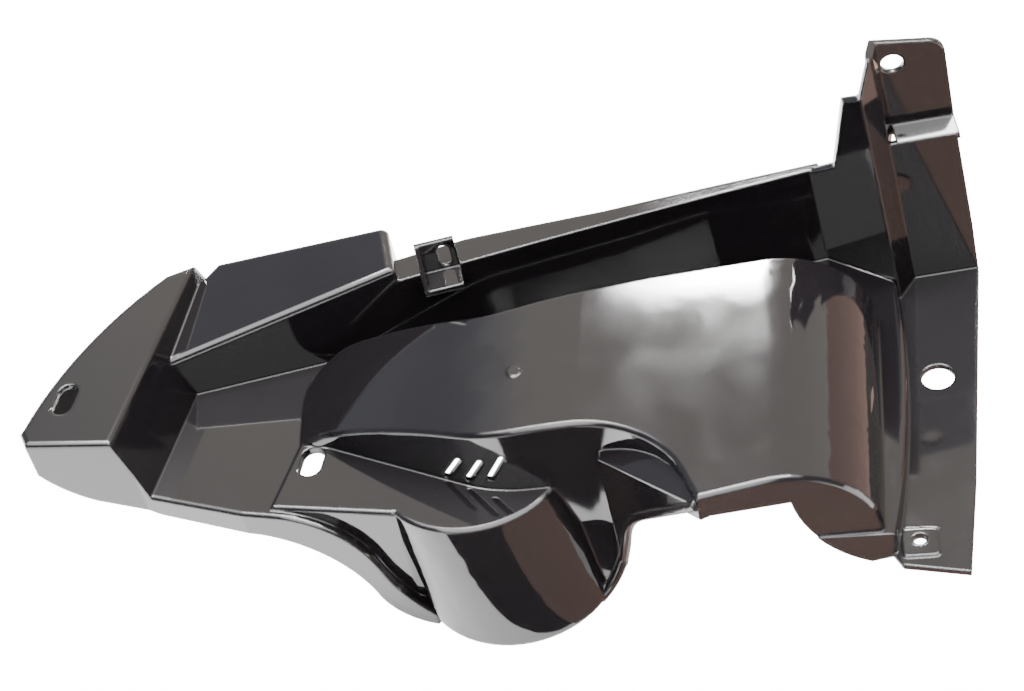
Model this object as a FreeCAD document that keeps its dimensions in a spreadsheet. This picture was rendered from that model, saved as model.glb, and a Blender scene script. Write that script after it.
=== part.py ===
# Front inner fender: one moulded shell with a raised wheel arch, a nose pad and an end flange.
# X runs from the nose to the flange, Y away from the front edge, Z up; sizes are in millimetres.
# The origin is the centre of the large flange hole, on the upper face of the level flange.
import FreeCAD, Part
import math
import os
import Sketcher
from FreeCAD import Vector

doc = FreeCAD.newDocument("front_inner_fender")

sizes = {
    "body_length": 440,
    "body_depth": 225,
    "wall": 2.5,
    "pad_level": 54,
    "ledge_low": 43,
    "ledge_high": 65,
    "floor_level": 20,
    "plate_level": 21.5,
    "arch_level": 58,
    "shelf_level": 40,
    "strip_level": 10,
    "rim_low": 57,
    "rim_high": 63.5,
    "ear_top": 116,
    "joggle_level": 80,
    "flange_top": 129,
    "pipe_drop": 61,
    "back_level": 12,
    "main_hole": 14,
    "small_hole": 5.5,
    "upper_hole": 9.4,
    "nose_slot_width": 9,
    "nose_slot_length": 17,
    "boss_slot_width": 10,
    "boss_slot_length": 16,
    "vent_width": 2.6,
    "vent_length": 17,
    "clip_height": 17,
    "clip_reach": 12,
    "clip_slot_width": 5.5,
    "clip_slot_length": 12,
    "bead_size": 4.4,
    "gate_mark": 6.4,
    "edge_round": 2,
}
dims = doc.addObject("Spreadsheet::Sheet", "dims")
for row, (alias, value) in enumerate(sizes.items(), start=1):
    dims.set("A%d" % row, alias)
    dims.set("B%d" % row, str(value))
    dims.setAlias("B%d" % row, alias)
doc.recompute()


# Outline places are given for a body of this length and depth, and grow with it.
DRAWN_LENGTH = 440
DRAWN_DEPTH = 225


# A measure is a sum of shares of sizes, kept as {size name: share}.
def along(x):
    return {"body_length": x / DRAWN_LENGTH}


def across(y):
    return {"body_depth": y / DRAWN_DEPTH}


def of_size(**shares):
    return shares


def present(measure):
    return sum(share * sizes[name] for name, share in measure.items())


def formula(measure):
    return " + ".join("%.6f * dims.%s" % (share, name) for name, share in measure.items())


def sketch(name, plane, steps, closed=True):
    """Outline or open path; a step is (x, y) for a line there, or (x, y, via_x, via_y) for an arc."""
    sk = doc.addObject("Sketcher::SketchObject", name)
    if plane == "side":
        sk.Placement = FreeCAD.Placement(Vector(0, 0, 0), FreeCAD.Rotation(Vector(1, 0, 0), 90))
    if plane == "end":
        sk.Placement = FreeCAD.Placement(Vector(0, 0, 0), FreeCAD.Rotation(Vector(1, 1, 1), 120))
    points = [Vector(present(step[0]), present(step[1]), 0) for step in steps]
    ends = {}
    first = 0 if closed else 1
    for i, step in enumerate(steps[first:], start=first):
        start, stop = points[i - 1], points[i]
        if len(step) == 2:
            geo = sk.addGeometry(Part.LineSegment(start, stop), False)
            ends[i] = (geo, 1, 2)
        else:
            via = Vector(present(step[2]), present(step[3]), 0)
            geo = sk.addGeometry(Part.Arc(start, via, stop), False)
            turned = (sk.getPoint(geo, 1) - start).Length > 1e-4
            ends[i] = (geo, 2, 1) if turned else (geo, 1, 2)
    for i in range(2 * first, len(steps)):
        before, here = ends[(i - 1) % len(steps)], ends[i]
        sk.addConstraint(Sketcher.Constraint("Coincident", before[0], before[2], here[0], here[1]))
    if not closed:
        place(sk, ends[1][0], ends[1][1], steps[0][0], steps[0][1])
    for i, step in enumerate(steps[first:], start=first):
        place(sk, ends[i][0], ends[i][2], step[0], step[1])
    for i, step in enumerate(steps):
        if len(step) == 4:
            mark = sk.addGeometry(Part.Point(Vector(present(step[2]), present(step[3]), 0)), True)
            sk.addConstraint(Sketcher.Constraint("PointOnObject", mark, 1, ends[i][0]))
            place(sk, mark, 1, step[2], step[3])
    doc.recompute()
    return sk


def place(sk, geo, pos, x, y):
    for kind, measure in (("DistanceX", x), ("DistanceY", y)):
        row = sk.addConstraint(Sketcher.Constraint(kind, -1, 1, geo, pos, present(measure)))
        sk.setExpression("Constraints[%d]" % row, formula(measure))


def plan(name, points):
    """Outline seen from above."""
    steps = []
    for p in points:
        step = [along(p[0]), across(p[1])]
        if len(p) == 4:
            step += [along(p[2]), across(p[3])]
        steps.append(step)
    return sketch(name, "plan", steps)


def soften(corners):
    """Outline points of a polygon whose corners, given as (x, y, radius), are rounded true."""
    points = []
    longer = sizes["body_length"] / DRAWN_LENGTH
    deeper = sizes["body_depth"] / DRAWN_DEPTH
    places = [Vector(x * longer, y * deeper, 0) for x, y, radius in corners]
    for i, here in enumerate(places):
        radius = corners[i][2]
        back = (places[i - 1] - here).normalize()
        ahead = (places[(i + 1) % len(places)] - here).normalize()
        half = back.getAngle(ahead) / 2
        start = here + back * (radius / math.tan(half))
        stop = here + ahead * (radius / math.tan(half))
        middle = here + (back + ahead).normalize() * (radius / math.sin(half) - radius)
        points.append((start.x / longer, start.y / deeper))
        if radius:
            points.append((stop.x / longer, stop.y / deeper, middle.x / longer, middle.y / deeper))
    return points


def side(name, points):
    """Outline seen from the front: places along the part and heights."""
    steps = []
    for p in points:
        step = [along(p[0]), p[1]]
        if len(p) == 4:
            step += [along(p[2]), p[3]]
        steps.append(step)
    return sketch(name, "side", steps)


def inset(base):
    """The same outline, one wall thickness further in."""
    ring = doc.addObject("Part::Offset2D", base.Name + "_inset")
    ring.Source = base
    ring.Join = 0
    ring.setExpression("Value", "-dims.wall")
    doc.recompute()
    return ring


def extrude(name, base, direction, forward, back=None):
    """Prism of an outline along a direction, which may lean."""
    body = doc.addObject("Part::Extrusion", name)
    body.Base = base
    body.DirMode = "Custom"
    body.Dir = Vector(*direction).normalize()
    body.Solid = True
    body.setExpression("LengthFwd", formula(forward))
    if back:
        body.setExpression("LengthRev", formula(back))
    doc.recompute()
    return body


def joined(kind, name, members):
    """Fusion or common of several solids."""
    made = doc.addObject("Part::Multi" + kind, name)
    made.Shapes = members
    made.Refine = True
    doc.recompute()
    return made


def taken(name, base, tool):
    """One solid taken out of another."""
    made = doc.addObject("Part::Cut", name)
    made.Base = base
    made.Tool = tool
    doc.recompute()
    if made.Shape.Volume > base.Shape.Volume - 1:
        raise RuntimeError("nothing taken: " + name)
    return made


def looks_up(shape, edge):
    """How far up each face beside an edge looks, smaller value first."""
    tilts = []
    for face in shape.ancestorsOfType(edge, Part.Face):
        u, v = face.Surface.parameter(edge.CenterOfMass)
        tilts.append(face.normalAt(u, v).z)
    return sorted(tilts)


def rounded(name, base, radius, wanted, kind="Fillet"):
    """Rounded or bevelled edges, picked by where their middles lie and how their faces look."""
    shape = base.Shape
    picked = []
    for i, edge in enumerate(shape.Edges, start=1):
        tilts = looks_up(shape, edge)
        middle = edge.CenterOfMass
        middle.x *= DRAWN_LENGTH / sizes["body_length"]
        middle.y *= DRAWN_DEPTH / sizes["body_depth"]
        if len(tilts) == 2 and wanted(middle, tilts[0], tilts[1]):
            picked.append((i, radius, radius))
    made = doc.addObject("Part::" + kind, name)
    made.Base = base
    made.Edges = picked
    doc.recompute()
    return made


def brim(low, high):
    return abs(low) < 0.05 and high > 0.05


# Reaches that run clear of the part: below every edge, and past it on both sides.
DEEP = across(-90)
LONG = across(170)
UP = across(150)
ACROSS = (0, 1, 0)
PAD_LINE = (0.404, 0.915, 0)
ARCH_LINE = (0.22, 0.975, 0)
EDGE = sizes["edge_round"]


def block(name, plan_points, side_points, direction=ACROSS):
    """Outer and inner form of one region: its plan outline under its side profile."""
    forms = []
    top_view = plan(name + "_plan", plan_points)
    front_view = side(name + "_side", side_points)
    for tag, over, front in (("outer", top_view, front_view),
                             ("inner", inset(top_view), inset(front_view))):
        upright = extrude(name + "_up_" + tag, over, (0, 0, 1), UP, UP)
        through = extrude(name + "_thru_" + tag, front, direction, LONG, LONG)
        forms.append(joined("Common", name + "_" + tag, [upright, through]))
    return forms


TIP = (-379, 34)
NOSE_CURVE = (-381, 42, -350, 86)
KNEE = (-338, 21.5)
floor = block("floor", [
    (-234, -22.5), (-170, -25.5), (-150, -14), (-95, -50), (-75, -85), (-40, -86), (-4, 49.5, -17, -17),
    (-28, 75), (-212, 75), (-212, 100), (-290, 121), (-313, 117), NOSE_CURVE, TIP,
    (-338, 26), (-297, 4), (-284.5, -3),
], [
    (-400, DEEP), (-400, of_size(floor_level=1)), (-75, of_size(floor_level=1)),
    (-34, of_size(strip_level=1)), (20, of_size(strip_level=1)), (20, DEEP),
])
pad = block("pad", [
    (-320, 11.3), (-290, 121), (-313, 117), NOSE_CURVE, TIP, KNEE,
], [
    (-430, DEEP), (-430, of_size(pad_level=1)), (-353, of_size(pad_level=1)),
    (-343.5, of_size(floor_level=1)), (-343.5, DEEP),
], PAD_LINE)
ledge = block("ledge", [
    (-325, 74), (-212, 74), (-212, 100), (-290, 121), (-312, 105),
], [
    (-335, DEEP), (-335, of_size(ledge_low=1, wall=-1.6)), (-205, of_size(ledge_high=1, wall=0.6)),
    (-205, DEEP),
])
arch = block("arch", soften([
    (-263, 80, 22), (-178, 44.5, 60), (-110, 41, 120), (-10, 30, 0), (-41.5, -84, 0), (-113.5, -84, 0),
    (-122, -37, 48), (-191, -24, 60), (-256, 22.5, 20), (-268.5, 28, 0),
]), [
    (-282, DEEP), (-282, of_size(floor_level=0.85)),
    (-146, of_size(arch_level=1), -223, of_size(arch_level=0.786)), (-70, of_size(arch_level=1)),
    (-24, of_size(strip_level=1.2), -37.5, of_size(arch_level=0.768)), (-24, DEEP),
], ARCH_LINE)
shelf = block("shelf", [
    (-147, -37), (-113.3, -84), (-104, -84), (-108, -55), (-137, -20),
], [
    (-160, DEEP), (-160, of_size(shelf_level=0.9)), (-100, of_size(shelf_level=1.45)), (-100, DEEP),
])
# Apron along the front: level with the floor at the nose, then it sweeps down to the pipe cover.
apron = block("apron", [
    KNEE, (-297, -1.7), (-229, -30.5), (-214, -12), (-270, 22), (-330, 40),
], [
    (-350, DEEP), (-350, of_size(floor_level=1)), (-284, of_size(floor_level=1)),
    (-246, across(-9.5), -260, across(11.75)), (-222, across(-43), -237.1, across(-28.5)), (-215, DEEP),
])

# Level plate at the foot of the recess, and the half round pipe cover that hangs from it.
plate = extrude("plate", plan("plate_plan", [
    (-234.5, -22.2), (-163.5, -26), (-150, -10), (-240, 40), (-268, 29.5), (-284.5, -3.2),
]), (0, 0, 1), of_size(plate_level=1))
PIPE_LINE = (8, -15, -61)
pipe_plan = plan("pipe_plan", [
    (-163, -24, -203, -41), (-140, -28.6), (-140, 5), (-225, 5), (-236, -18),
])
pipe = []
for tag, outline, drop in (("outer", pipe_plan, 0), ("inner", inset(pipe_plan), -1)):
    solid = extrude("pipe_" + tag, outline, PIPE_LINE, of_size(pipe_drop=1.04))
    solid.setExpression("Placement.Base.z", formula(of_size(plate_level=1, wall=drop)))
    pipe.append(solid)
doc.recompute()

# Convex edges are rounded, the long curved ones bevelled, on each region before the regions join.
round_floor = rounded("round_floor", floor[0], EDGE * 1.25, lambda c, low, high: (
    brim(low, high) and c.x > -20 and c.y < 0))
round_pad = rounded("round_pad", pad[0], EDGE * 1.25, lambda c, low, high: (
    c.z > sizes["pad_level"] - 0.1))
round_ledge = rounded("round_ledge", ledge[0], EDGE * 1.5, lambda c, low, high: (
    brim(low, high) and c.x > -290 and c.y < 100))
round_arch = rounded("round_arch", arch[0], EDGE * 0.75, lambda c, low, high: (
    brim(low, high) and c.z > sizes["floor_level"] * 1.1), "Chamfer")
round_shelf = rounded("round_shelf", shelf[0], EDGE * 0.75, lambda c, low, high: brim(low, high))
round_apron = rounded("round_apron", apron[0], EDGE * 0.6, lambda c, low, high: (
    brim(low, high) and c.x + 2 * c.y < -270), "Chamfer")
plate_pipe = joined("Fuse", "plate_pipe", [plate, pipe[0]])
round_plate = rounded("round_plate", plate_pipe, EDGE * 0.6, lambda c, low, high: (
    c.z > sizes["plate_level"] - 0.1 and c.y < 16 and (c.y < -10 or c.x < -260)), "Chamfer")

outer = joined("Fuse", "outer", [
    round_floor, round_pad, round_ledge, round_arch, round_shelf, round_apron, round_plate,
])
inner = joined("Fuse", "inner", [
    floor[1], pad[1], ledge[1], arch[1], shelf[1], apron[1], pipe[1],
])
shell = taken("shell", outer, inner)

# Lower edge of the shell: the nose runs out to a point, the front lip dips to the pipe cover,
# the arch stands on a short lip and the back keeps a short skirt.
BELOW = across(-130)
LOWEST = -46


def lift(height):
    """Heights of the lower edge grow with the depth."""
    return across(height)


def trim(base, name, points, fore, aft):
    """Takes off all that lies in a side outline, from one place across the part to another."""
    return taken("after_" + name, base, extrude(name, side(name + "_side", points), ACROSS, aft, fore))


trimmed = trim(shell, "trim_deep", [
    (-430, BELOW), (-430, lift(LOWEST)), (20, lift(LOWEST)), (20, BELOW),
], LONG, LONG)
trimmed = trim(trimmed, "trim_nose", [
    (-430, BELOW), (-430, lift(60)), (-388, lift(60)), (-358, lift(17.4), -375, lift(29.5)),
    (-333, lift(9.5)), (-333, BELOW),
], LONG, LONG)
trimmed = trim(trimmed, "trim_front", [
    (-333.5, BELOW), (-333.5, lift(9.5)), (-292, lift(7.3)), (-251, lift(-26), -267.4, lift(-3.2)),
    (-228, lift(-45), -243.5, lift(-38.5)), (-157, lift(-45)), (-157, BELOW),
], LONG, across(45))
trimmed = trim(trimmed, "trim_arch", [
    (-110, BELOW), (-110, lift(45.9)), (-78, lift(42.5)), (-50, lift(-2.3), -66, lift(13)),
    (20, lift(-2.3)), (20, BELOW),
], LONG, across(-20))
trimmed = trim(trimmed, "trim_cheek", [
    (-158, BELOW), (-158, lift(-42.5)), (-146.4, lift(-22.5), -151.5, lift(-33)), (-142.3, lift(0)),
    (-142.3, BELOW),
], LONG, across(-12))
trimmed = trim(trimmed, "trim_leaf", [
    (-142.5, BELOW), (-142.5, lift(-1)), (-134.2, lift(21.8), -139.1, lift(12.5)), (-118, lift(43.5)),
    (-109, lift(46)), (-109, BELOW),
], LONG, across(-12))
trimmed = trim(trimmed, "trim_back", [
    (-334, BELOW), (-334, of_size(back_level=1)), (-75, of_size(back_level=1)), (-75, BELOW),
], across(-40), LONG)
trimmed = trim(trimmed, "trim_end", [
    (-76, BELOW), (-76, of_size(wall=-1)), (20, of_size(wall=-1)), (20, BELOW),
], LONG, LONG)

# Upper wall, ear and return: one upright strip that leans with the flange, under its own outline.
LEAN = (-0.06, 0, 1)
upper_side = side("upper_side", [
    (-220, lift(8)), (-220, of_size(rim_low=1)),
    (-30, of_size(rim_high=1), -120, of_size(rim_low=0.5, rim_high=0.52)),
    (-22, of_size(rim_high=1.12)), (-16.5, of_size(ear_top=0.965)), (-11, of_size(ear_top=1)),
    (-4, of_size(flange_top=1)), (22, of_size(flange_top=0.968)),
    (29, of_size(flange_top=0.905), 27.2, of_size(flange_top=0.95)),
    (33.5, of_size(wall=-1)), (-8, of_size(wall=-1)), (-45, lift(8)),
])
upper_form = extrude("upper_form", upper_side, ACROSS, LONG, LONG)
wall_plan = plan("wall_plan", [
    (-216, 74), (-28, 74), (-3, 50), (6, 60), (5, 62.6), (-3.1, 53.6), (-27, 76.5), (-216, 76.5),
])
wall_strip = extrude("wall_strip", wall_plan, LEAN, of_size(flange_top=1.2))
low_plan = plan("low_plan", [(4, 60.2), (34, 57), (34, 59.5), (4, 62.7)])
low_strip = extrude("low_strip", low_plan, LEAN, of_size(joggle_level=1, wall=1))
high_plan = plan("high_plan", [
    (3, 58.5), (6, 60), (9, 68.4), (36, 65.5), (36, 68), (7, 71.1), (3, 61.5),
])
high_strip = extrude("high_strip", high_plan, LEAN, of_size(flange_top=1.1, joggle_level=-1))
# The joggle between them slopes a little, so that it sheds water.
joggle_end = sketch("joggle_end", "end", [
    (across(60.5), of_size(joggle_level=1, wall=-1.2)), (across(60.5), of_size(joggle_level=1)),
    (across(69.5), of_size(joggle_level=1.04)), (across(71.5), of_size(joggle_level=1.04)),
    (across(71.5), of_size(joggle_level=1.04, wall=-1.2)),
])
step_plate = extrude("step_plate", joggle_end, (30, -3.2, 0), along(40), along(-4.5))
for strip, start in ((wall_strip, of_size(wall=-1)), (low_strip, of_size(wall=-1)),
                     (high_strip, of_size(joggle_level=1, wall=-1))):
    strip.setExpression("Placement.Base.z", formula(start))
    share = {name: part * LEAN[0] / LEAN[2] for name, part in start.items()}
    strip.setExpression("Placement.Base.x", formula(share))
doc.recompute()
upper = joined("Common", "upper", [
    joined("Fuse", "strips", [wall_strip, low_strip, high_strip, step_plate]), upper_form,
])

# Narrow rim along the top of the upper wall.
rim_plan = plan("rim_plan", [
    (-216, 74), (-27, 74), (-27, 77.5), (-120, 82), (-180, 88), (-216, 87),
])
rim_side = side("rim_side", [
    (-220, of_size(rim_low=1)),
    (-30, of_size(rim_high=1), -120, of_size(rim_low=0.5, rim_high=0.52)), (-20, of_size(rim_high=1)),
    (-20, of_size(rim_high=1, wall=-1)), (-30, of_size(rim_high=1, wall=-1)),
    (-220, of_size(rim_low=1, wall=-1), -120, of_size(rim_low=0.5, rim_high=0.52, wall=-1)),
])
rim_side_form = extrude("rim_band", rim_side, ACROSS, LONG, LONG)
rim = joined("Common", "rim", [extrude("rim_up", rim_plan, (0, 0, 1), UP), rim_side_form])


# Half-sunk beads that stiffen the lower edge beside the pipe cover.
def stretch(x, y):
    """A plan step at the part's own length and depth."""
    return Vector(x * sizes["body_length"] / DRAWN_LENGTH, y * sizes["body_depth"] / DRAWN_DEPTH, 0)


def bead(name, steps, origin, ahead, up):
    """Round bar along a path drawn in a plane that has its own origin and two directions."""
    path = sketch(name + "_path", "plan", steps, closed=False)
    turn = FreeCAD.Rotation(ahead, up, ahead.cross(up), "XYZ")
    path.Placement = FreeCAD.Placement(Vector(0, 0, 0), turn)
    for axis, measure in zip("xyz", origin):
        path.setExpression("Placement.Base." + axis, formula(measure))
    doc.recompute()
    lead = path.Shape.Edges[0]
    ring = doc.addObject("Part::Circle", name + "_ring")
    ring.setExpression("Radius", formula(of_size(bead_size=0.5)))
    ring.Placement = FreeCAD.Placement(
        lead.valueAt(lead.FirstParameter),
        FreeCAD.Rotation(Vector(0, 0, 1), lead.tangentAt(lead.FirstParameter)))
    bar = doc.addObject("Part::Sweep", name)
    bar.Sections = [ring]
    bar.Spine = (path, ["Edge%d" % (i + 1) for i in range(len(path.Shape.Edges))])
    bar.Solid = True
    bar.Transition = "Right corner"
    doc.recompute()
    return bar


cheek_run = stretch(1, -0.2).normalize()
cheek_rise = Vector(*PIPE_LINE).negative()
cheek_rise = (cheek_rise - cheek_run * cheek_rise.dot(cheek_run)).normalize()
low_bead = bead("low_bead", [
    (along(6.5), across(-63.5)), (along(21.9), across(-32), along(16), across(-50)),
], (along(-163), across(-25.7), across(21)), cheek_run, cheek_rise)
leaf_run = stretch(33.7, -47)
leaf_share = leaf_run.Length / 57.83 / sizes["body_depth"]
leaf_bead = bead("leaf_bead", [
    ({"body_depth": 0.5 * leaf_share}, across(-25)), ({"body_depth": 8 * leaf_share}, across(0)),
    ({"body_depth": 21.9 * leaf_share}, across(21.8), {"body_depth": 13.44 * leaf_share}, across(11.86)),
    ({"body_depth": 57 * leaf_share}, across(53.07)),
], (along(-147), across(-37), across(0)), leaf_run.normalize(), Vector(0, 0, 1))

# Gate mark on the arch, and the low square seat round the small flange hole.
gate = doc.addObject("Part::Cylinder", "gate")
gate.setExpression("Radius", formula(of_size(gate_mark=0.5)))
gate.setExpression("Height", formula(of_size(wall=0.8)))
gate.setExpression("Placement.Base.x", formula(along(-171.6)))
gate.setExpression("Placement.Base.y", formula(across(6.7)))
gate.setExpression("Placement.Base.z", formula(of_size(arch_level=0.98, wall=-0.8)))
seat = extrude("seat", plan("seat_plan", soften([
    (-35.8, -75, 2), (-21.4, -78.6, 2), (-23.8, -92.6, 2), (-38, -89.4, 2),
])), (0, 0, 1), of_size(wall=0.3), of_size(wall=0.3))

# Level part of the end flange.
level_plan = plan("level_plan", [
    (-39, -93), (-14.5, -104), (0, -59), (33.5, 57), (33.5, 59.5), (3, 62.5), (-6, 50),
    (-42, -84, -19.5, -17),
])
level = extrude("level", level_plan, (0, 0, -1), of_size(wall=1))

# Clip seat on the rim: an upright plate with a slot, a level seat in front of it and a sloped cheek.
clip_end = sketch("clip_end", "end", [
    (across(76), of_size(rim_low=1, wall=-0.5)), (across(76), of_size(rim_low=1, clip_height=1)),
    (across(74), of_size(rim_low=1, clip_height=1)),
    (of_size(body_depth=74 / DRAWN_DEPTH, clip_reach=-1), of_size(rim_low=1, wall=0.5)),
    (of_size(body_depth=74 / DRAWN_DEPTH, clip_reach=-1), of_size(rim_low=1, wall=-0.5)),
])
clip_hollow_end = sketch("clip_hollow_end", "end", [
    (across(74), of_size(rim_low=1, wall=0.5)), (across(74), of_size(rim_low=1, clip_height=1.5)),
    (across(40), of_size(rim_low=1, clip_height=1.5)), (across(40), of_size(rim_low=1, wall=0.5)),
])
clip_block = extrude("clip_block", clip_end, (1, 0, 0), along(-184.5), along(201.5))
clip_hollow = extrude("clip_hollow", clip_hollow_end, (1, 0, 0), along(-180), along(199.5))
clip = taken("clip", clip_block, clip_hollow)

body = joined("Fuse", "body", [trimmed, upper, rim, level, clip, low_bead, leaf_bead, gate, seat])

# Openings.
openings = []


def round_hole(name, size, x, y, height, direction):
    hole = doc.addObject("Part::Cylinder", name)
    hole.setExpression("Radius", formula({size: 0.5}))
    hole.setExpression("Height", formula(of_size(wall=6)))
    turn = FreeCAD.Rotation(Vector(0, 0, 1), Vector(*direction))
    hole.Placement = FreeCAD.Placement(Vector(0, 0, 0), turn)
    hole.setExpression("Placement.Base.x", formula(x))
    hole.setExpression("Placement.Base.y", formula(y))
    hole.setExpression("Placement.Base.z", formula(height))
    openings.append(hole)


def slot(name, width, length, x, y, turn, tilt, start, forward):
    """Oblong opening of a width and a length, turned in its own plane and then tilted up."""
    half = {width: 0.5}
    less = {width: -0.5}
    top = {length: 0.5, width: -0.5}
    foot = {length: -0.5, width: 0.5}
    middle = {"wall": 0}
    sk = sketch(name + "_outline", "plan", [
        (half, top), (less, top, middle, {length: 0.5}), (less, foot),
        (half, foot, middle, {length: -0.5}),
    ])
    lean = FreeCAD.Rotation(Vector(1, 0, 0), tilt).multiply(FreeCAD.Rotation(Vector(0, 0, 1), turn))
    sk.Placement = FreeCAD.Placement(Vector(0, 0, 0), lean)
    sk.setExpression("Placement.Base.x", formula(x))
    sk.setExpression("Placement.Base.y", formula(y))
    sk.setExpression("Placement.Base.z", formula(start))
    doc.recompute()
    return extrude(name, sk, tuple(sk.Placement.Rotation.multVec(Vector(0, 0, 1))), forward)


round_hole("main_opening", "main_hole", along(0), across(0), of_size(wall=-3), (0, 0, 1))
round_hole("small_opening", "small_hole", along(-29.6), across(-82.6), of_size(wall=-3), (0, 0, 1))
round_hole("upper_opening", "upper_hole", along(6.6), of_size(body_depth=69 / DRAWN_DEPTH, wall=-3),
           of_size(flange_top=0.9), (2.9, 27, 0.17))
openings.append(slot("nose_opening", "nose_slot_width", "nose_slot_length", along(-360.5), across(55),
                     -22, 0, of_size(pad_level=1, wall=-3), of_size(wall=6)))
openings.append(slot("boss_opening", "boss_slot_width", "boss_slot_length", along(-264.5), across(17),
                     -20, 0, of_size(plate_level=1, wall=-4), of_size(wall=8)))
openings.append(slot("clip_opening", "clip_slot_width", "clip_slot_length", along(-190), across(78),
                     0, 90, of_size(rim_low=1, clip_height=0.5), of_size(wall=4)))
for number, (x, height) in enumerate(((-205.5, 30), (-197, 31.5), (-188, 34.5)), start=1):
    openings.append(slot("vent_%d" % number, "vent_width", "vent_length", along(x), across(2), -28.5, 90,
                         of_size(arch_level=height / 58), across(34)))
fender = taken("front_inner_fender", body, joined("Fuse", "openings", openings))
fender.Label = "front_inner_fender"

for item in doc.Objects:
    shape = getattr(item, "Shape", None)
    if shape is not None and (shape.isNull() or not shape.isValid()):
        raise RuntimeError("no valid shape: " + item.Name)
    if "Invalid" in item.State or "Error" in item.State:
        raise RuntimeError("not computed: " + item.Name)
if len(fender.Shape.Solids) != 1:
    raise RuntimeError("the fender is not one solid")
if trimmed.Shape.optimalBoundingBox().ZMin < present(lift(LOWEST)) - 0.1:
    raise RuntimeError("the lower edge is not trimmed")

os.makedirs("parts", exist_ok=True)
fender.Shape.exportStep("parts/front_inner_fender.step")
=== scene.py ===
# %% [markdown]
# # Front inner fender
# A front inner fender is one thin plastic moulding that closes the space between a scooter's front
# wheel and its body panels. The solid model already has the whole form, so this lesson gives that
# form its finish, stands it in a plain pale studio and looks at it as the photograph does.

import bpy
from mathutils import Matrix, Vector


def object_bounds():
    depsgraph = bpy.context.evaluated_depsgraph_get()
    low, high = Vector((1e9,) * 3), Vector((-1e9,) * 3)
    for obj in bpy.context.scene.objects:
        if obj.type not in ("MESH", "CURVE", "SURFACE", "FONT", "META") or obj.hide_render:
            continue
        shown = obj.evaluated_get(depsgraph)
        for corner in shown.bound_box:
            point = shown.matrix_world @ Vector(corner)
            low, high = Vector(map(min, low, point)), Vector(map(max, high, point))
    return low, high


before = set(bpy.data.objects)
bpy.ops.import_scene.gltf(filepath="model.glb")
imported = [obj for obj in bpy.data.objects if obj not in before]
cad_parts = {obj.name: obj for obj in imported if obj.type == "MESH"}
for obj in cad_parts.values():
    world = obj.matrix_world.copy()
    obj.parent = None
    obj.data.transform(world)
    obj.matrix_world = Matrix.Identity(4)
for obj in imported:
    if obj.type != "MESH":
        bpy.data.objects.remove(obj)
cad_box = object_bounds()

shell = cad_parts["front_inner_fender"]
MM = 0.001
print("shell box, mm:", [[round(v / MM, 1) for v in corner] for corner in cad_box])

# %% [markdown]
# ## Two small helpers
# Colours are picked as sRGB hex values, as a paint chart gives them, but shaders work in linear
# light, so one function converts them. A second function adds any node to a tree, sets its own
# properties, and fills its inputs with plain values or with links from other nodes.

# %% Helpers
def linear(hex_colour):
    """sRGB hex colour as a linear RGBA tuple."""
    parts = [int(hex_colour[i:i + 2], 16) / 255 for i in (1, 3, 5)]
    bent = [p / 12.92 if p <= 0.04045 else ((p + 0.055) / 1.055) ** 2.4 for p in parts]
    return (*bent, 1.0)


def add(tree, kind, settings, inputs):
    """Adds a node; an input is a value or the output socket that feeds it."""
    made = tree.nodes.new(kind)
    for name, value in settings.items():
        setattr(made, name, value)
    for name, value in inputs.items():
        if isinstance(value, bpy.types.NodeSocket):
            tree.links.new(value, made.inputs[name])
        else:
            made.inputs[name].default_value = value
    return made


def fresh_material(name):
    material = bpy.data.materials.new(name)
    material.use_nodes = True
    material.node_tree.nodes.clear()
    return material


def waves_of(millimetres):
    """Noise scale that gives features of this size, for coordinates in metres."""
    return 1 / (millimetres * MM)


# %% [markdown]
# ## Black gloss polypropylene
# The fender is injection moulded in black polypropylene against polished steel, so it comes out of
# the mould already shiny. Three things tell the eye that it is moulded plastic and not lacquer:
# the wide faces are never quite flat, so reflections bend in slow waves; the skin has a faint
# orange peel; and the gloss changes from place to place where the plastic cooled at another pace.
# All three come from noise at their real sizes, and the colour itself stays almost black.

# %% Plastic material
POLYPROPYLENE_IOR = 1.50
SINK_WAVE_MM, SINK_DEPTH_MM = 55, 0.16
ORANGE_PEEL_MM, PEEL_DEPTH_MM = 1.6, 0.05
GLOSS_PATCH_MM = 30
FLOW_MARK_MM = 70
EDGE_RADIUS_MM = 1.6
GLOSSIEST, DULLEST = 0.04, 0.09

plastic = fresh_material("black_gloss_polypropylene")
tree = plastic.node_tree
place = add(tree, "ShaderNodeTexCoord", {}, {}).outputs["Object"]
flow = add(tree, "ShaderNodeTexNoise", {}, {
    "Vector": place, "Scale": waves_of(FLOW_MARK_MM), "Detail": 3.0, "Distortion": 1.2})
tint = add(tree, "ShaderNodeMix", {"data_type": "RGBA"}, {
    "Factor": flow.outputs["Fac"], 6: linear("#080709"), 7: linear("#0f0d0e")})
patches = add(tree, "ShaderNodeTexNoise", {}, {
    "Vector": place, "Scale": waves_of(GLOSS_PATCH_MM), "Detail": 4.0, "Distortion": 0.6})
gloss = add(tree, "ShaderNodeMapRange", {}, {
    "Value": patches.outputs["Fac"], "From Min": 0.3, "From Max": 0.7,
    "To Min": GLOSSIEST, "To Max": DULLEST})
sink = add(tree, "ShaderNodeTexNoise", {}, {
    "Vector": place, "Scale": waves_of(SINK_WAVE_MM), "Detail": 1.0})
peel = add(tree, "ShaderNodeTexNoise", {}, {
    "Vector": place, "Scale": waves_of(ORANGE_PEEL_MM), "Detail": 2.0})
soft_edge = add(tree, "ShaderNodeBevel", {"samples": 6}, {"Radius": EDGE_RADIUS_MM * MM})
wavy = add(tree, "ShaderNodeBump", {}, {
    "Strength": 0.16, "Distance": SINK_DEPTH_MM * MM, "Height": sink.outputs["Fac"],
    "Normal": soft_edge.outputs["Normal"]})
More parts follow.
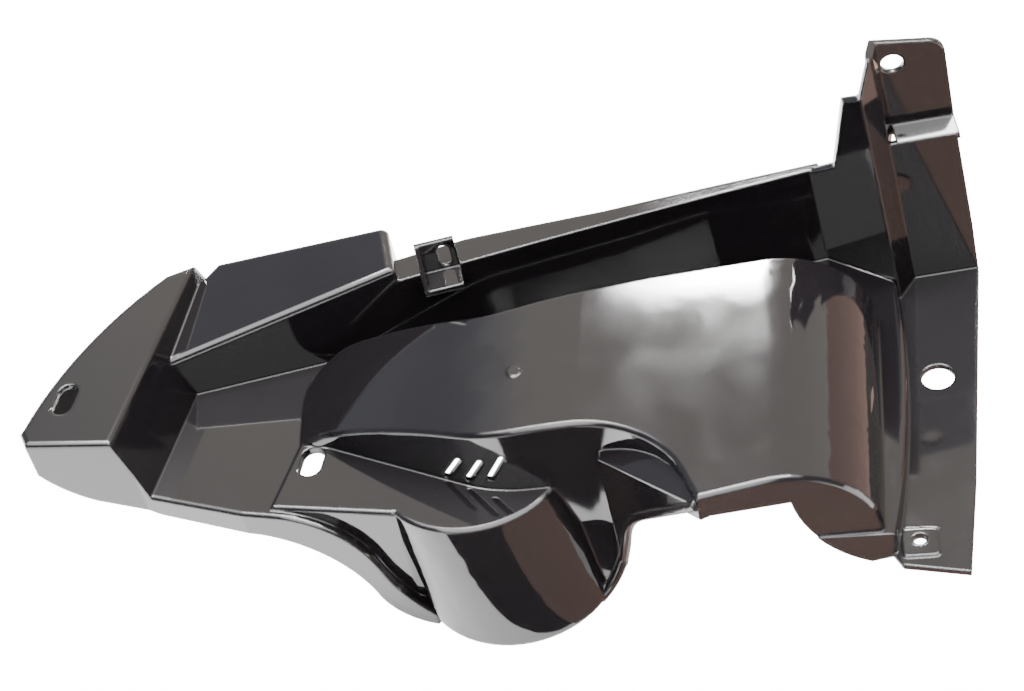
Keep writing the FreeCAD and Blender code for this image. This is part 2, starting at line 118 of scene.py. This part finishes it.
skin = add(tree, "ShaderNodeBump", {}, {
    "Strength": 0.03, "Distance": PEEL_DEPTH_MM * MM, "Height": peel.outputs["Fac"],
    "Normal": wavy.outputs["Normal"]})
surface = add(tree, "ShaderNodeBsdfPrincipled", {}, {
    "Base Color": tint.outputs[2], "Roughness": gloss.outputs["Result"],
    "IOR": POLYPROPYLENE_IOR, "Normal": skin.outputs["Normal"]})
add(tree, "ShaderNodeOutputMaterial", {}, {"Surface": surface.outputs["BSDF"]})
print("plastic nodes:", len(tree.nodes))

# %% [markdown]
# ## Finish on the shell
# The shell takes the one material. A weighted-normal modifier lets each wide face set the shading
# at its corners, so that a flat face mirrors as a flat face. It moves nothing.

# %% Finish on the shell
shell.data.materials.clear()
shell.data.materials.append(plastic)
flat_faces = shell.modifiers.new("flat_faces", "WEIGHTED_NORMAL")
flat_faces.keep_sharp = True
print("shell material:", shell.data.materials[0].name)

# %% [markdown]
# ## Pieces of the stage
# A black gloss surface shows only a twentieth of what it mirrors, so what stands around the part
# matters more than what shines on it. The stage is made of flat sheets, some of which glow, and
# some of which only reflections see.

# %% Stage helpers
def sheet(name, corners, surface):
    """Flat four-sided piece of the stage with one material."""
    mesh = bpy.data.meshes.new(name)
    mesh.from_pydata(corners, [], [(0, 1, 2, 3)])
    mesh.materials.append(surface)
    piece = bpy.data.objects.new(name, mesh)
    bpy.context.scene.collection.objects.link(piece)
    return piece


def glowing(name, colour, strength):
    """Material that gives off an even light."""
    material = fresh_material(name)
    light = add(material.node_tree, "ShaderNodeEmission", {}, {
        "Color": linear(colour), "Strength": strength})
    add(material.node_tree, "ShaderNodeOutputMaterial", {}, {"Surface": light.outputs["Emission"]})
    return material


def lying(x_low, x_high, y_low, y_high, height):
    """Corners of a level rectangle; places in metres."""
    return [(x_low, y_low, height), (x_high, y_low, height),
            (x_high, y_high, height), (x_low, y_high, height)]


def only_mirrored(piece):
    """Lets reflections see a piece of the stage, and nothing else."""
    piece.visible_camera = False
    piece.visible_diffuse = False
    piece.visible_shadow = False


# %% [markdown]
# ## Floor and table
# The camera sees a floor that is burnt out to pure white. The plastic mirrors a white paper table
# at almost the same height instead, which lies in the part's own shadow underneath it.

# %% Floor and table
TABLE_HALF = 3.0
FLOOR_GLOW = 16.0
FLOOR_GAP_MM = 0.3
table_level = cad_box[0][2] - FLOOR_GAP_MM * MM
extent = (-TABLE_HALF, TABLE_HALF, -TABLE_HALF, TABLE_HALF)

floor = sheet("floor", lying(*extent, table_level), glowing("white_floor", "#ffffff", FLOOR_GLOW))
floor.visible_glossy = False
floor.visible_diffuse = False
floor.visible_shadow = False

paper = fresh_material("white_paper")
matt = add(paper.node_tree, "ShaderNodeBsdfDiffuse", {}, {"Color": linear("#f4f4f4")})
add(paper.node_tree, "ShaderNodeOutputMaterial", {}, {"Surface": matt.outputs["BSDF"]})
table = sheet("table", lying(*extent, table_level - MM), paper)
table.visible_camera = False
print("table at", round(table_level / MM, 1), "mm")

# %% [markdown]
# ## Cards
# Cards that only reflections see give the dark and the brown bands of the photograph. They lie
# where the leaning pipe cover, the front arch and the flange mirror the table, and one brown screen
# stands at the right, for the roll of the arch.

# %% Cards
CARD_LEVEL = table_level + MM
dark = glowing("black_cloth", "#2a2627", 3.0)
brown = glowing("brown_wood", "#8a7268", 5.0)
SCREEN_X, SCREEN_TOP = 0.900, 0.360
only_mirrored(sheet("dark_card", [
    (-0.300, -0.700, CARD_LEVEL), (-0.163, -0.700, CARD_LEVEL),
    (-0.163, -0.066, CARD_LEVEL), (-0.300, -0.125, CARD_LEVEL)], dark))
only_mirrored(sheet("brown_card", [
    (-0.163, -0.700, CARD_LEVEL), (0.060, -0.700, CARD_LEVEL),
    (0.060, -0.130, CARD_LEVEL), (-0.163, -0.035, CARD_LEVEL)], brown))
only_mirrored(sheet("side_card", lying(-0.005, SCREEN_X, -0.128, 0.600, CARD_LEVEL), brown))
only_mirrored(sheet("brown_screen", [
    (SCREEN_X, -0.6, CARD_LEVEL), (SCREEN_X, 1.4, CARD_LEVEL),
    (SCREEN_X, 1.4, SCREEN_TOP), (SCREEN_X, -0.6, SCREEN_TOP)], brown))
print("cards at", round(CARD_LEVEL / MM, 1), "mm")

# %% [markdown]
# ## Room
# The ceiling is one wide soft light. Level faces mirror the back wall, which is dimmer, and the
# walls that look forward mirror the dark side of the room where the photographer stands.

# %% Room
CEILING, BACK_WALL, FRONT_WALL = 12.0, 1.8, 0.4
room = bpy.data.worlds.new("studio_room")
room.use_nodes = True
tree = room.node_tree
tree.nodes.clear()
look = add(tree, "ShaderNodeTexCoord", {}, {}).outputs["Generated"]
way = add(tree, "ShaderNodeSeparateXYZ", {}, {"Vector": look}).outputs
depth = add(tree, "ShaderNodeMapRange", {"interpolation_type": "SMOOTHSTEP"}, {
    "Value": way["Y"], "From Min": -0.3, "From Max": 0.2, "To Min": FRONT_WALL, "To Max": BACK_WALL})
shade = add(tree, "ShaderNodeMapRange", {"interpolation_type": "SMOOTHSTEP"}, {
    "Value": way["X"], "From Min": -0.36, "From Max": -0.12, "To Min": 0.35, "To Max": 1.0})
amount = add(tree, "ShaderNodeMath", {"operation": "MULTIPLY"}, {
    0: depth.outputs["Result"], 1: shade.outputs["Result"]})
paint = add(tree, "ShaderNodeMix", {"data_type": "RGBA"}, {
    "Factor": shade.outputs["Result"], 6: linear("#cfe6ff"), 7: linear("#fffaee")})
wall = add(tree, "ShaderNodeBackground", {}, {
    "Color": paint.outputs[2], "Strength": amount.outputs["Value"]})
ceiling = add(tree, "ShaderNodeBackground", {}, {"Color": linear("#ffffff"), "Strength": CEILING})
forward = add(tree, "ShaderNodeMapRange", {}, {
    "Value": way["Y"], "From Min": -0.6, "From Max": 0.2, "To Min": 0.2, "To Max": 0.0})
raised = add(tree, "ShaderNodeMath", {"operation": "ADD"}, {0: way["Z"], 1: forward.outputs["Result"]})
height = add(tree, "ShaderNodeMapRange", {"interpolation_type": "SMOOTHSTEP"}, {
    "Value": raised.outputs["Value"], "From Min": 0.80, "From Max": 0.87})
both = add(tree, "ShaderNodeMixShader", {}, {
    0: height.outputs["Result"], 1: wall.outputs["Background"], 2: ceiling.outputs["Background"]})
add(tree, "ShaderNodeOutputWorld", {}, {"Surface": both.outputs["Shader"]})
bpy.context.scene.world = room
print("room nodes:", len(tree.nodes))

# %% [markdown]
# ## Soft box and strip light
# One soft box, in three panels that fade out at both ends, stands behind the table, so low that
# only the back edge of the arch mirrors it. Each station gives a place along it with its lower and
# upper edge, in metres. A strip light overhead gives the rounded edges their thin lines.

# %% Soft box and strip light
BOX_AWAY, BOX_GLOW = 2.0, 600.0
STRIP_HEIGHT, STRIP_GLOW = 2.2, 100.0
cloth = fresh_material("soft_box_cloth")
spot = add(cloth.node_tree, "ShaderNodeTexCoord", {}, {}).outputs["Object"]
sideways = add(cloth.node_tree, "ShaderNodeSeparateXYZ", {}, {"Vector": spot}).outputs["X"]
rise = add(cloth.node_tree, "ShaderNodeMapRange", {"interpolation_type": "SMOOTHSTEP"}, {
    "Value": sideways, "From Min": -0.11, "From Max": 0.06, "To Min": 0.0, "To Max": BOX_GLOW})
fall = add(cloth.node_tree, "ShaderNodeMapRange", {"interpolation_type": "SMOOTHSTEP"}, {
    "Value": sideways, "From Min": 0.10, "From Max": 1.15, "To Min": 1.0, "To Max": 0.0})
faded = add(cloth.node_tree, "ShaderNodeMath", {"operation": "MULTIPLY"}, {
    0: rise.outputs["Result"], 1: fall.outputs["Result"]})
light = add(cloth.node_tree, "ShaderNodeEmission", {}, {
    "Color": linear("#ffffff"), "Strength": faded.outputs["Value"]})
add(cloth.node_tree, "ShaderNodeOutputMaterial", {}, {"Surface": light.outputs["Emission"]})
stations = [(-0.14, 1.95, 1.98), (0.14, 1.95, 2.04), (0.40, 1.95, 2.11), (1.15, 1.86, 1.95)]
for number, ((x0, low0, high0), (x1, low1, high1)) in enumerate(zip(stations, stations[1:])):
    only_mirrored(sheet("soft_box_%d" % number, [
        (x0, BOX_AWAY, low0), (x1, BOX_AWAY, low1),
        (x1, BOX_AWAY, high1), (x0, BOX_AWAY, high0)], cloth))
strip = sheet("strip_light", lying(-1.2, 1.2, 0.1, 0.5, STRIP_HEIGHT),
              glowing("strip_cloth", "#ffffff", STRIP_GLOW))
strip.visible_camera = False

# %% [markdown]
# ## Camera
# The photograph looks down on the part at about forty-five degrees, with the phone rolled so that
# the nose points down to the left. The camera's axes are written out in the part's own frame.

# %% Camera
PHOTO_WIDTH = 1024
SENSOR_MM = 36.0
EYE = Vector((-141.709, -740.217, 821.088)) * MM
FOCAL_PIXELS = 2619
right = Vector((0.9718, -0.1484, -0.184)).normalized()
down = Vector((-0.2454, -0.691, -0.679))
down = (down - right * down.dot(right)).normalized()
ahead = right.cross(down)
lens = bpy.data.cameras.new("camera")
lens.sensor_width = SENSOR_MM
lens.lens = FOCAL_PIXELS * SENSOR_MM / PHOTO_WIDTH
lens.clip_start = 0.01
camera = bpy.data.objects.new("camera", lens)
bpy.context.scene.collection.objects.link(camera)
turn = Matrix((right, -down, -ahead)).transposed().to_4x4()
camera.matrix_world = Matrix.Translation(EYE) @ turn
bpy.context.scene.camera = camera
print("lens:", round(lens.lens, 2), "mm, looking along", [round(v, 3) for v in ahead])
